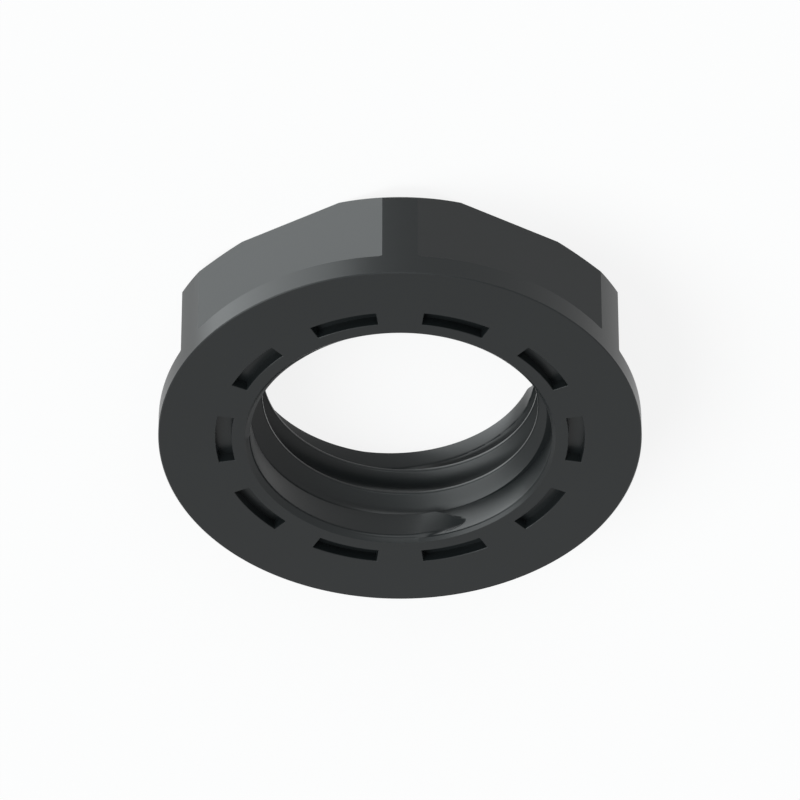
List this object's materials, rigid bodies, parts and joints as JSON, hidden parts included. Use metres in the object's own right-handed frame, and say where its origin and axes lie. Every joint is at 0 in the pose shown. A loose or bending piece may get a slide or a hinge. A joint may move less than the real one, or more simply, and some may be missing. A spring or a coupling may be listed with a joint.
{
  "type": "cable gland locknut",
  "caption": "Flat hexagon locknut with a round collar and shallow arc pockets in its seating face, for clamping a cable gland in a panel hole.",
  "frame": {"origin": "on the bore axis, in the plane of the hexagon's end face", "axes": "+Z along the bore axis towards the seating face with the pockets, -Y through one corner of the hexagon"},
  "size_m": [0.02, 0.02, 0.005],
  "materials": {
    "polyamide": "black moulded polyamide, satin"
  },
  "bodies": {
    "root": {"locknut": "polyamide"}
  },
  "joints": []
}
